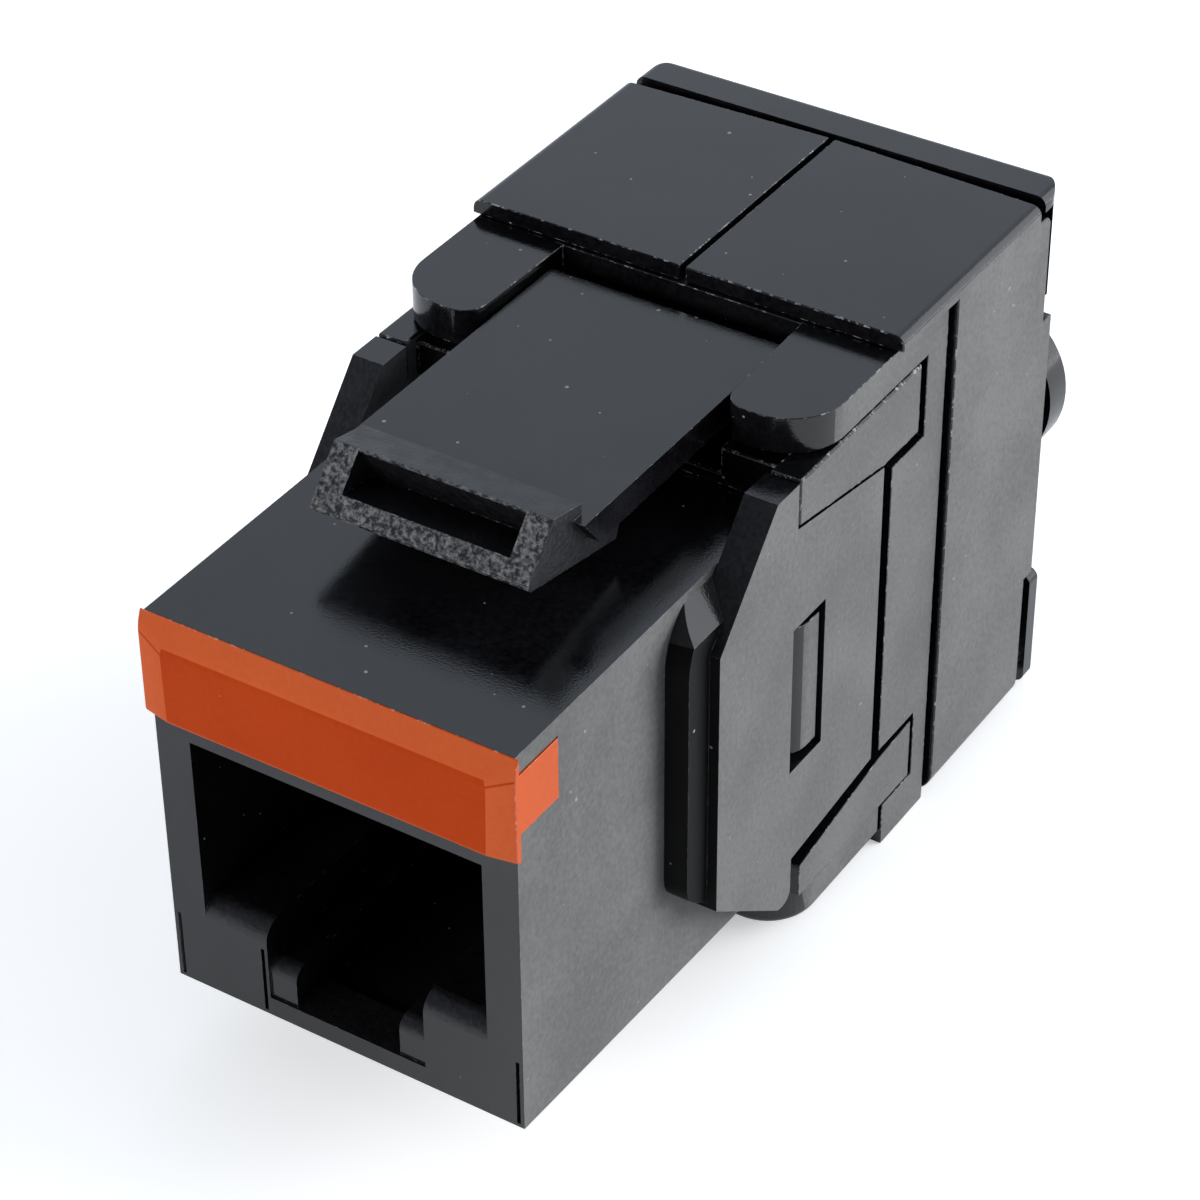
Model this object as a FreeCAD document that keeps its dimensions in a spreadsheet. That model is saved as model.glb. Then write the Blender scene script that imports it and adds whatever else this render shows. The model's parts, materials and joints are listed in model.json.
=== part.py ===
import FreeCAD, Part
import math
import os
import Sketcher

# Keystone jack with an eight-way port, a coloured icon strip, a flexing top latch and two
# side-opening termination covers. Millimetres. X is the width, Y runs from the nose to the
# rear and Z is up. Sizes along Y start at the face of the nose and sizes along Z at the
# underside. Every body is then moved forward by half the overall length.

SIZES = {
    # nose and port
    "nose_width": 14.5,
    "nose_top": 18.9,
    "nose_height": 16.0,
    "nose_drop": 0.75,
    "nose_reach": 13.6,
    "nose_back": 21.1,
    "port_width": 11.7,
    "port_height": 7.0,
    "port_depth": 13.6,
    "port_ceiling": 5.0,
    "ledge_round": 0.75,
    "slot_width": 6.5,
    "slot_height": 3.2,
    "step_gap": 4.3,
    "step_height": 1.6,
    "step_back": 0.1,
    "step_round": 0.55,
    "floor_lip": 1.8,
    "floor_drop": 0.3,
    "corner_slit": 0.15,
    "corner_slit_inset": 0.15,
    "corner_slit_height": 2.8,
    "corner_slit_depth": 0.25,
    "ledge_slit_inset": 0.12,
    # side wings of the front housing
    "flange_inset": 0.4,
    "flange_front": 8.8,
    "flange_low": 6.8,
    "flange_round": 2.5,
    "flange_low_round": 1.2,
    "flange_slope": 1.3,
    "wing_width": 17.2,
    "wing_front": 10.1,
    "wing_low": 5.65,
    "wing_knee": 16.7,
    "horn_front": 13.7,
    "horn_back": 15.1,
    "horn_height": 1.85,
    "toe_front": 14.5,
    "toe_back": 15.3,
    "toe_low": 2.4,
    "toe_round": 0.5,
    "foot_front": 4.25,
    "foot_back": 4.9,
    "window_front": 15.0,
    "window_length": 2.2,
    "window_low": 8.4,
    "window_height": 6.3,
    "chamber_width": 13.9,
    "chamber_low": 3.4,
    "chamber_top": 17.9,
    # icon strip
    "strip_lap": 0.15,
    "strip_height": 4.2,
    "strip_proud": 0.45,
    "strip_bevel": 1.05,
    "strip_bevel_depth": 0.4,
    "strip_side_depth": 0.2,
    "clip_length": 2.35,
    "clip_height": 2.4,
    "clip_drop": 0.8,
    "clip_thick": 0.7,
    # keystone frame with its upper arms, and the lower clip with the fixed hook
    "frame_front": 15.9,
    "frame_back": 20.8,
    "frame_cheek": 1.6,
    "bridge_thick": 0.5,
    "arm_clearance": 0.15,
    "arm_back": 23.6,
    "arm_rise": 1.9,
    "arm_drop": 0.95,
    "hook_front": 15.3,
    "hook_back": 22.1,
    "hook_inset": 0.1,
    "hook_low": 0.35,
    "hook_round": 2.0,
    "hook_edge": 0.4,
    "pad_front": 15.95,
    "pad_back": 24.15,
    "pad_low": 2.0,
    "pad_nose": 3.45,
    "pad_rise": 4.45,
    "pad_top": 4.6,
    "pad_seam": 0.15,
    "pad_seam_depth": 0.35,
    # latch arm
    "plate_width": 9.5,
    "plate_front": 7.9,
    "plate_back": 20.5,
    "plate_rise": 1.9,
    "plate_thick": 1.15,
    "plate_taper": 0.9,
    "root_radius": 0.6,
    "head_width": 8.6,
    "head_crest": 8.45,
    "head_crest_rise": 3.45,
    "head_lip": 6.8,
    "head_lip_rise": 3.8,
    "head_toe": 5.1,
    "head_toe_rise": 1.85,
    "head_heel": 10.5,
    "head_heel_rise": 0.8,
    "scoop_width": 6.6,
    "scoop_back": 7.5,
    "scoop_low": 2.3,
    "scoop_sill": 5.6,
    "scoop_sill_rise": 2.6,
    # rear housing
    "arm_groove": 0.4,
    "pad_groove": 0.25,
    "collar_front": 21.7,
    "collar_back": 25.4,
    "collar_hole_width": 12.0,
    "collar_hole_low": 2.6,
    "collar_hole_top": 18.2,
    "shoulder_low": 20.95,
    "shoulder_thick": 1.4,
    "shoulder_round": 2.2,
    "shoulder_inner_round": 0.9,
    "latch_slot_width": 10.1,
    "latch_slot_back": 21.5,
    "latch_slot_taper": 0.15,
    "roof_inset": 1.8,
    "roof_thick": 1.1,
    "floor_inset": 0.45,
    "floor_thick": 1.5,
    "walls_back": 33.5,
    "snap_arm_front": 14.6,
    "snap_arm_thick": 0.6,
    "snap_nub_length": 1.9,
    "snap_nub_inset": 0.15,
    "snap_nub_round": 1.3,
    "snap_drop": 0.5,
    "snap_lift": 0.25,
    # covers and their pins
    "cover_proud": 0.25,
    "cover_gap": 0.25,
    "cover_top": 23.0,
    "cover_plate": 0.6,
    "cover_wall": 0.95,
    "cover_front": 21.65,
    "cover_back": 32.2,
    "cover_skew": 0.3,
    "door_back": 33.35,
    "door_gap": 0.25,
    "door_notch": 0.65,
    "door_round": 0.45,
    "cover_edge": 0.4,
    "barrel_radius": 1.1,
    "pin_radius": 0.6,
    "pin_bore_clearance": 0.05,
    "pin_seat_clearance": 0.01,
    "pin_seat_depth": 1.5,
    "pusher_reach": 0.7,
    "pusher_thick": 0.8,
    "pusher_inset": 0.8,
    # rear cap
    "cap_inset": 0.5,
    "cap_front": 33.6,
    "cap_thick": 0.65,
    "cap_low": 0.2,
    "brow_inset": 0.15,
    "brow_height": 5.2,
    "brow_round": 1.2,
    "brow_corner": 1.4,
    "brow_gap": 0.3,
    "brow_notch_clearance": 0.1,
    "sill_notch_clearance": 0.5,
    "sill_height": 5.2,
    "collar_ring_centre": 12.95,
    "collar_ring_height": 7.1,
    "collar_ring_back": 35.5,
    "cable_bore": 6.0,
    "cap_edge": 0.4,
    # contact carrier, contacts and circuit board
    "carrier_width": 11.4,
    "carrier_front": 3.3,
    "carrier_low": 3.7,
    "comb_front": 12.0,
    "carrier_back": 20.4,
    "comb_slot": 0.6,
    "comb_slot_front": 4.2,
    "comb_slot_back": 14.3,
    "comb_slot_low": 8.4,
    "contact_pitch": 1.016,
    "contact_width": 0.36,
    "contact_thick": 0.3,
    "contact_pin": 4.9,
    "contact_bend": 14.5,
    "contact_tip": 12.5,
    "contact_tip_height": 9.9,
    "contact_hook": 0.65,
    "board_low": 15.3,
    "board_thick": 1.0,
    "board_back": 31.9,
    "board_shoulder": 20.6,
    "board_tongue": 4.7,
    "board_hole": 0.31,
    "tail_hole": 0.36,
    "tail_proud": 0.3,
    # wire blocks and their terminals
    "block_gap": 0.25,
    "block_front": 25.6,
    "block_back": 32.1,
    "block_chamfer": 0.8,
    "wire_level": 4.6,
    "wire_pitch": 4.5,
    "wire_slot": 1.1,
    "wire_slot_depth": 2.2,
    "fork_front": 27.0,
    "fork_step": 1.5,
    "fork_thick": 0.5,
    "fork_height": 2.4,
    "fork_mouth": 0.35,
    "fork_mouth_depth": 1.8,
    "fork_web": 0.8,
    "fork_inset": 0.3,
    "tail_width": 0.4,
    "tail_height": 0.8,
    "tail_centre": 1.9,
    "seat_clearance": 0.1,
    "fit_clearance": 0.05,
    "cut_margin": 1.0,
}

CONTACTS = 8
WIRES_PER_SIDE = 4

# Axes by number, and how near two coordinates must be to count as the same.
X, Y, Z = 0, 1, 2
TOUCH = 1e-4


class Size:
    """A length that remembers how it is worked out from the sheet, so that it can be bound."""

    def __init__(self, text, value):
        self.text = text
        self.value = value

    def joined(self, sign, other, value):
        return Size(f"({self.text} {sign} {size(other).text})", value)

    def __add__(self, other):
        return self.joined("+", other, self.value + size(other).value)

    def __sub__(self, other):
        return self.joined("-", other, self.value - size(other).value)

    def __mul__(self, other):
        return self.joined("*", other, self.value * size(other).value)

    def __truediv__(self, other):
        return self.joined("/", other, self.value / size(other).value)

    def __neg__(self):
        return Size(f"(0 - {self.text})", -self.value)


def size(number):
    """A Size as it is, or a plain number made into one."""
    if isinstance(number, Size):
        return number
    return Size(repr(float(number)), float(number))


class Sizes:
    """The driving sizes: a spreadsheet whose named cells read as attributes."""

    def __init__(self, doc, values):
        self.sheet = doc.addObject("Spreadsheet::Sheet", "Sizes")
        for row, (name, value) in enumerate(values.items(), start=1):
            self.sheet.set(f"A{row}", name)
            self.sheet.set(f"B{row}", str(value))
            self.sheet.setAlias(f"B{row}", name)
        doc.recompute()

    def __getattr__(self, name):
        return Size(f"Sizes.{name}", float(self.sheet.getPropertyByName(name)))


doc = FreeCAD.newDocument("KeystoneJack")
s = Sizes(doc, SIZES)
parts = []

# Levels and places that several pieces share.
strip_width = s.nose_width + s.strip_lap * 2
arm_inner = s.nose_width + s.arm_clearance * 2
flange_width = s.wing_width - s.flange_inset * 2
hook_width = s.wing_width - s.hook_inset * 2
roof_width = s.wing_width - s.roof_inset * 2
cover_width = s.wing_width + s.cover_proud * 2
brow_width = cover_width - s.brow_inset * 2
half_nose = s.nose_width / 2
half_wing = s.wing_width / 2
half_flange = flange_width / 2
half_arm = arm_inner / 2
half_cover = cover_width / 2
half_brow = brow_width / 2
door_inner = half_cover - s.cover_wall
nose_bottom = s.nose_top - s.nose_height
port_top = s.nose_top - s.port_ceiling
ledge_top = port_top - s.port_height
slot_bottom = ledge_top - s.slot_height
horn_top = s.nose_top + s.horn_height
arm_top = s.nose_top + s.arm_rise
arm_low = s.nose_top - s.arm_drop
shoulder_top = s.shoulder_low + s.shoulder_thick
plate_low = s.nose_top + s.plate_rise
plate_top = plate_low + s.plate_thick
bridge_top = s.nose_top + s.fit_clearance + s.bridge_thick
cheek_top = s.nose_top + s.frame_cheek
root_y = s.plate_back - s.root_radius
root_z = bridge_top + s.fit_clearance + s.root_radius
board_top = s.board_low + s.board_thick
hinge_x = half_cover - s.barrel_radius
hinge_z = s.barrel_radius
floor_width = (hinge_x - s.barrel_radius - s.floor_inset) * 2
collar_core_width = arm_inner - s.seat_clearance * 2
door_front = s.collar_back + s.door_gap
block_inner = s.board_tongue / 2 + s.block_gap
block_outer = door_inner - s.pusher_reach - s.seat_clearance
fork_tip = block_outer - s.fork_inset
brow_low = s.cover_top - s.brow_height
sill_top = s.cap_low + s.sill_height
cap_back = s.cap_front + s.cap_thick
overall_middle = (s.collar_ring_back - s.strip_proud) / 2

# ---------------------------------------------------------------- building blocks

PLANES = {"plan": "XY_Plane", "front": "XZ_Plane", "side": "YZ_Plane"}


def new_body(name):
    """An empty body, moved so that the middle of the jack's length is the origin."""
    body = doc.addObject("PartDesign::Body", name)
    body.Label = name
    body.setExpression("Placement.Base.y", (-overall_middle).text)
    parts.append(body)
    return body


def sketch(body, plane, level):
    """An empty sketch parallel to one of the body's planes, at the given level across it."""
    drawn = body.newObject("Sketcher::SketchObject", f"{body.Name}_sketch")
    role = PLANES[plane]
    datum = next(item for item in body.Origin.OriginFeatures if item.Role == role)
    drawn.AttachmentSupport = [(datum, "")]
    drawn.MapMode = "FlatFace"
    # The front plane faces the nose, so levels along Y count backwards from it.
    lift = -size(level) if plane == "front" else size(level)
    drawn.setExpression("AttachmentOffset.Base.z", lift.text)
    return drawn


def place(drawn, geometry, point, across, up):
    """Holds one point of a sketch at the given distances from the sketch's origin."""
    for kind, distance in (("DistanceX", size(across)), ("DistanceY", size(up))):
        number = drawn.addConstraint(Sketcher.Constraint(kind, -1, 1, geometry, point, distance.value))
        drawn.setExpression(f"Constraints[{number}]", distance.text)


def outline(body, plane, level, corners):
    """A sketch of one closed outline of straight sides through the corners."""
    drawn = sketch(body, plane, level)
    spots = [FreeCAD.Vector(size(a).value, size(b).value, 0) for a, b in corners]
    count = len(spots)
    for i, spot in enumerate(spots):
        drawn.addGeometry(Part.LineSegment(spot, spots[(i + 1) % count]), False)
    for i in range(count):
        drawn.addConstraint(Sketcher.Constraint("Coincident", i, 2, (i + 1) % count, 1))
    for i, (across, up) in enumerate(corners):
        place(drawn, i, 1, across, up)
    return drawn


def rectangle(body, plane, level, left, right, low, high):
    return outline(body, plane, level, [(left, low), (right, low), (right, high), (left, high)])


def disc(body, plane, level, across, up, radius):
    """A sketch of one circle."""
    drawn = sketch(body, plane, level)
    centre = FreeCAD.Vector(size(across).value, size(up).value, 0)
    drawn.addGeometry(Part.Circle(centre, FreeCAD.Vector(0, 0, 1), radius.value), False)
    place(drawn, 0, 3, across, up)
    number = drawn.addConstraint(Sketcher.Constraint("Radius", 0, radius.value))
    drawn.setExpression(f"Constraints[{number}]", radius.text)
    return drawn


def extrude(kind, body, drawn, length, both=False, forward=True):
    """A pad or a pocket. Forward is towards +X, +Y or +Z, whichever the sketch faces."""
    feature = body.newObject(f"PartDesign::{kind}", f"{body.Name}_{kind}")
    feature.Profile = drawn
    feature.setExpression("Length", size(length).text)
    feature.SideType = "Symmetric" if both else "One side"
    on_front = drawn.AttachmentSupport[0][0].Role == PLANES["front"]
    feature.Reversed = on_front == (kind == "Pad") if forward else on_front != (kind == "Pad")
    return feature


def pad(body, drawn, length, both=False, forward=True):
    return extrude("Pad", body, drawn, length, both, forward)


def pocket(body, drawn, length, both=False, forward=True):
    return extrude("Pocket", body, drawn, length, both, forward)


def box(body, left, right, front, back, low, high):
    """A rectangular pad between the given planes."""
    return pad(body, rectangle(body, "front", front, left, right, low, high), size(back) - front)


def box_cut(body, left, right, front, back, low, high):
    """A rectangular pocket between the given planes."""
    return pocket(body, rectangle(body, "front", front, left, right, low, high), size(back) - front)


def edges_along(feature, axis, first, second):
    """Names of the straight edges along an axis whose other two coordinates are as given."""
    others = [i for i in range(3) if i != axis]
    names = []
    for number, edge in enumerate(feature.Shape.Edges, start=1):
        start, end = edge.firstVertex().Point, edge.lastVertex().Point
        wanted = (size(first).value, size(second).value)
        on_line = all(
            abs(point[i] - value) < TOUCH
            for point in (start, end)
            for i, value in zip(others, wanted)
        )
        if on_line:
            names.append(f"Edge{number}")
    return names


def dress(kind, body, edges, radius):
    """Rounds or chamfers edges of the body's last feature, given as (axis, first, second)."""
    doc.recompute()
    base = body.Tip
    names = sorted({name for edge in edges for name in edges_along(base, *edge)})
    feature = body.newObject(f"PartDesign::{kind}", f"{body.Name}_{kind}")
    feature.Base = (base, names)
    feature.setExpression("Radius" if kind == "Fillet" else "Size", size(radius).text)
    return feature


def repeat(body, feature, axis, length, count):
    """Repeats a feature along one of the body's axes."""
    pattern = body.newObject("PartDesign::LinearPattern", f"{body.Name}_pattern")
    pattern.Originals = [feature]
    role = ("X_Axis", "Y_Axis", "Z_Axis")[axis]
    datum = next(item for item in body.Origin.OriginFeatures if item.Role == role)
    pattern.Direction = (datum, [""])
    pattern.setExpression("Length", size(length).text)
    pattern.Occurrences = count
    body.Tip = pattern
    return pattern


# ---------------------------------------------------------------- front housing


def front_housing():
    """Nose with the port, and the two side wings that hold it in its panel opening."""
    body = new_body("front_housing")
    flange = [(s.flange_front, s.flange_low), (s.flange_front, s.nose_top),
              (s.toe_front, s.nose_top), (s.toe_front, s.toe_low + s.toe_round)]
    pad(body, outline(body, "side", 0, flange), flange_width, both=True)
    dress("Fillet", body, [(X, s.flange_front, s.nose_top)], s.flange_round)
    dress("Fillet", body, [(X, s.flange_front, s.flange_low)], s.flange_low_round)
    for side in (-1, 1):
        outer, inner = half_flange * side, (half_flange - s.flange_slope) * side
        corner = [(inner, s.nose_top), (outer, s.nose_top), (outer, s.nose_top - s.flange_slope)]
        pocket(body, outline(body, "front", s.flange_front, corner), s.toe_front - s.flange_front)
    wing = [(s.wing_front, s.wing_low), (s.wing_front, s.wing_knee), (s.horn_front, horn_top),
            (s.horn_back, horn_top), (s.horn_back, s.nose_top),
            (s.nose_back, arm_low - s.fit_clearance), (s.nose_back, s.foot_back),
            (s.toe_back, s.foot_front), (s.toe_back, s.toe_low), (s.toe_front, s.toe_low)]
    pad(body, outline(body, "side", 0, wing), s.wing_width, both=True)
    dress("Fillet", body, [(X, s.toe_back, s.toe_low), (X, s.toe_front, s.toe_low)], s.toe_round)
    nose = [(0, nose_bottom), (0, s.nose_top), (s.nose_back, s.nose_top),
            (s.nose_back, nose_bottom - s.nose_drop), (s.nose_reach, nose_bottom - s.nose_drop)]
    pad(body, outline(body, "side", 0, nose), s.nose_width, both=True)
    between_wings = rectangle(body, "side", 0, s.wing_front, s.nose_back + s.cut_margin,
                              s.nose_top, horn_top + s.cut_margin)
    pocket(body, between_wings, s.nose_width + s.seat_clearance, both=True)
    cut_port(body)
    cut_inside(body)
    return body


def port_outline(opening_low, opening_half):
    """The port: the plug's body above and the slot for the plug's own latch below."""
    half_port = s.port_width / 2
    right = [(half_port, port_top), (half_port, ledge_top), (s.slot_width / 2, ledge_top),
             (s.slot_width / 2, opening_low)]
    if opening_half is not None:
        right += [(opening_half, opening_low), (opening_half, slot_bottom)]
    return right + [(-across, up) for across, up in reversed(right)]


def cut_port(body):
    """The port with its ledges, the seats of the icon strip and the slits in the face."""
    step_top = slot_bottom + s.step_height
    mouth = port_outline(slot_bottom, None)
    pocket(body, outline(body, "front", 0, mouth), s.step_back)
    throat = port_outline(step_top, s.step_gap / 2)
    pocket(body, outline(body, "front", 0, throat), s.port_depth + s.fit_clearance)
    dress("Fillet", body, [(X, 0, ledge_top)], s.ledge_round)
    dress("Fillet", body, [(X, s.step_back, step_top)], s.step_round)
    box_cut(body, -(s.step_gap / 2), s.step_gap / 2, s.floor_lip, s.port_depth,
            slot_bottom - s.floor_drop, slot_bottom)
    seat_high = s.nose_top - s.clip_drop + s.fit_clearance
    seat_low = s.nose_top - s.clip_drop - s.clip_height - s.fit_clearance
    slit_low = nose_bottom + s.corner_slit_inset
    slit_high = slit_low + s.corner_slit_height
    slit_outer = half_nose - s.corner_slit_inset
    for side in (-1, 1):
        box_cut(body, (half_nose - s.clip_thick) * side, (half_nose + s.cut_margin) * side,
                0, s.clip_length + s.fit_clearance, seat_low, seat_high)
        box_cut(body, (slit_outer - s.corner_slit) * side, slit_outer * side,
                0, s.corner_slit_depth, slit_low, slit_high)
    ledge_slit = -(s.slot_width / 2 + s.ledge_slit_inset)
    box_cut(body, ledge_slit - s.corner_slit, ledge_slit, 0, s.corner_slit_depth, slit_low, slit_high)


def cut_inside(body):
    """The room for the board above the port, the chamber behind it and the side windows."""
    past_back = s.nose_back + s.cut_margin
    board_room = s.carrier_width / 2 + s.fit_clearance
    box_cut(body, -board_room, board_room, s.carrier_front - s.seat_clearance, past_back,
            port_top, board_top + s.tail_proud + s.seat_clearance)
    half_chamber = s.chamber_width / 2
    box_cut(body, -half_chamber, half_chamber, s.port_depth, past_back, s.chamber_low, s.chamber_top)
    window = rectangle(body, "side", 0, s.window_front, s.window_front + s.window_length,
                       s.window_low, s.window_low + s.window_height)
    pocket(body, window, s.wing_width + s.cut_margin, both=True)


# ---------------------------------------------------------------- icon strip


def icon_strip():
    """Coloured strip across the top of the nose, held by two arms in the nose's sides."""
    body = new_body("icon_strip")
    half = strip_width / 2
    face = -s.strip_proud
    low = s.nose_top - s.strip_height
    box(body, -half, half, face, 0, low, s.nose_top)
    clip_top = s.nose_top - s.clip_drop
    clip_outer = half_nose + s.fit_clearance
    clip_inner = half_nose - s.clip_thick + s.fit_clearance
    for side in (-1, 1):
        box(body, clip_inner * side, clip_outer * side, -s.fit_clearance, s.clip_length,
            clip_top - s.clip_height, clip_top)
    top_bevel = [(face, s.nose_top - s.strip_bevel), (face + s.strip_bevel_depth, s.nose_top),
                 (face, s.nose_top)]
    pocket(body, outline(body, "side", 0, top_bevel), strip_width, both=True)
    for side in (-1, 1):
        outer, inner = half * side, (half - s.strip_bevel) * side
        side_bevel = [(inner, face), (outer, face), (outer, face + s.strip_side_depth)]
        pocket(body, outline(body, "plan", low, side_bevel), s.strip_height)
    return body


# ---------------------------------------------------------------- keystone frame and latch


def keystone_frame():
    """Saddle over the housing that carries the latch, with an arm down each side."""
    body = new_body("keystone_frame")
    inner = s.latch_slot_width / 2
    low = s.nose_top + s.fit_clearance
    saddle = [(-half_arm, low), (half_arm, low), (half_arm, cheek_top), (inner, cheek_top),
              (inner, bridge_top), (-inner, bridge_top), (-inner, cheek_top), (-half_arm, cheek_top)]
    pad(body, outline(body, "front", s.frame_front, saddle), s.frame_back - s.frame_front)
    front = s.horn_back + s.seat_clearance
    arm = [(front, arm_top), (s.arm_back, arm_top), (s.arm_back, arm_low), (s.nose_back, arm_low),
           (front, low)]
    for side in (-1, 1):
        start = half_arm if side > 0 else -half_arm
        pad(body, outline(body, "side", start, arm), half_wing - half_arm, forward=side > 0)
    return body


def latch_arm():
    """Flexing latch: a flat plate from its root, with a scooped head for a fingertip."""
    body = new_body("latch_arm")
    root_front = root_y - s.root_radius
    plate = [(s.plate_front, plate_top), (s.plate_back, plate_top), (s.plate_back, root_z),
             (root_front, root_z), (root_front, plate_low), (s.plate_front + s.plate_taper, plate_low)]
    pad(body, outline(body, "side", 0, plate), s.plate_width, both=True)
    pad(body, disc(body, "side", 0, root_y, root_z, s.root_radius), s.plate_width, both=True)
    rise = s.nose_top
    head = [(s.head_crest, rise + s.head_crest_rise), (s.head_lip, rise + s.head_lip_rise),
            (s.head_toe, rise + s.head_toe_rise), (s.head_heel, rise + s.head_heel_rise),
            (s.head_heel + s.plate_taper / 2, plate_low), (s.head_heel, plate_top - s.fit_clearance),
            (s.head_crest, plate_top - s.fit_clearance)]
    pad(body, outline(body, "side", 0, head), s.head_width, both=True)
    above = rise + s.head_lip_rise + s.cut_margin
    sill = rise + s.scoop_sill_rise
    scoop = [(s.head_lip, above), (s.head_lip, rise + s.head_lip_rise - s.seat_clearance),
             (s.scoop_back, rise + s.scoop_low), (s.scoop_sill, sill),
             (s.head_toe - s.cut_margin, sill + s.seat_clearance), (s.head_toe - s.cut_margin, above)]
    pocket(body, outline(body, "side", 0, scoop), s.scoop_width, both=True)
    return body


def lower_clip():
    """Fixed hook under the housing, with a pad up each side above a seam."""
    body = new_body("lower_clip")
    half = hook_width / 2
    top = nose_bottom - s.nose_drop - s.seat_clearance
    box(body, -half, half, s.hook_front, s.hook_back, s.hook_low, top)
    dress("Fillet", body, [(Z, -half, s.hook_front), (Z, half, s.hook_front)], s.hook_round)
    dress("Fillet", body, [(Y, -half, s.hook_low), (Y, half, s.hook_low)], s.hook_edge)
    flank = [(s.pad_front, s.pad_low), (s.pad_front, s.pad_nose), (s.collar_front, s.pad_rise),
             (s.pad_back, s.pad_top), (s.pad_back, s.pad_low)]
    for side in (-1, 1):
        start = half_arm if side > 0 else -half_arm
        pad(body, outline(body, "side", start, flank), half_wing - half_arm, forward=side > 0)
        box_cut(body, (half_wing - s.pad_seam_depth) * side, (half_wing + s.cut_margin) * side,
                s.pad_front, s.hook_back, s.pad_low - s.pad_seam, s.pad_low)
    return body


# ---------------------------------------------------------------- rear housing


def rear_housing():
    """Collar with the shoulders round the latch, and the frame behind it for the wires."""
    body = new_body("rear_housing")
    under_arm = arm_low - s.arm_groove
    behind_arm = s.arm_back + s.arm_groove
    behind_pad = s.pad_back + s.pad_groove
    over_pad = s.pad_top + s.pad_groove
    behind_hook = s.hook_back + s.seat_clearance
    foot_top = s.pad_low - s.seat_clearance
    cheek = [(s.collar_front, under_arm), (behind_arm, under_arm), (behind_arm, s.shoulder_low),
             (s.collar_back, s.shoulder_low), (s.collar_back, 0), (behind_hook, 0),
             (behind_hook, foot_top), (behind_pad, foot_top), (behind_pad, over_pad),
             (s.collar_front, over_pad)]
    pad(body, outline(body, "side", 0, cheek), s.wing_width, both=True)
    core = collar_core_width / 2
    core_front = s.nose_back + s.seat_clearance
    box(body, -core, core, core_front, s.collar_back, s.pad_low + s.seat_clearance, s.shoulder_low)
    shoulder_plate(body)
    roof = roof_width / 2
    box(body, -roof, roof, s.collar_back, s.walls_back, shoulder_top - s.roof_thick, shoulder_top)
    floor = floor_width / 2
    box(body, -floor, floor, s.collar_back, s.walls_back, 0, s.floor_thick)
    hole = s.collar_hole_width / 2
    box_cut(body, -hole, hole, core_front - s.cut_margin, s.collar_back,
            s.collar_hole_low, s.collar_hole_top)
    snap_arms(body)
    for side in (-1, 1):
        seat = disc(body, "front", s.collar_back, hinge_x * side, hinge_z,
                    s.pin_radius + s.pin_seat_clearance)
        pocket(body, seat, s.pin_seat_depth, forward=False)
    return body


def shoulder_plate(body):
    """Top plate, open at the front round the latch."""
    half = half_wing
    mouth = s.latch_slot_width / 2
    throat = mouth - s.latch_slot_taper
    plan = [(-half, s.frame_front), (-mouth, s.frame_front), (-throat, s.latch_slot_back),
            (throat, s.latch_slot_back), (mouth, s.frame_front), (half, s.frame_front),
            (half, s.collar_back), (-half, s.collar_back)]
    pad(body, outline(body, "plan", s.shoulder_low, plan), s.shoulder_thick)
    front = s.frame_front
    dress("Fillet", body, [(Z, -half, front), (Z, half, front)], s.shoulder_round)
    dress("Fillet", body, [(Z, -mouth, front), (Z, mouth, front)], s.shoulder_inner_round)


def snap_arms(body):
    """Arms into the front housing, each with a ramped nub that shows in the side window."""
    inner = s.collar_hole_width / 2 + s.seat_clearance
    outer = inner + s.snap_arm_thick - s.fit_clearance
    tip = half_wing - s.snap_nub_inset
    low = s.window_low + s.snap_lift
    high = s.window_low + s.window_height - s.snap_drop
    nub_front = s.window_front + s.snap_nub_inset
    for side in (-1, 1):
        arm = rectangle(body, "side", inner if side > 0 else -inner,
                        s.snap_arm_front, s.collar_front, low, high)
        pad(body, arm, s.snap_arm_thick, forward=side > 0)
        nub = rectangle(body, "side", outer if side > 0 else -outer,
                        nub_front, nub_front + s.snap_nub_length, low, high)
        pad(body, nub, tip - outer, forward=side > 0)
        dress("Fillet", body, [(Z, tip * side, nub_front)], s.snap_nub_round)


# ---------------------------------------------------------------- covers, pins and cap


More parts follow.
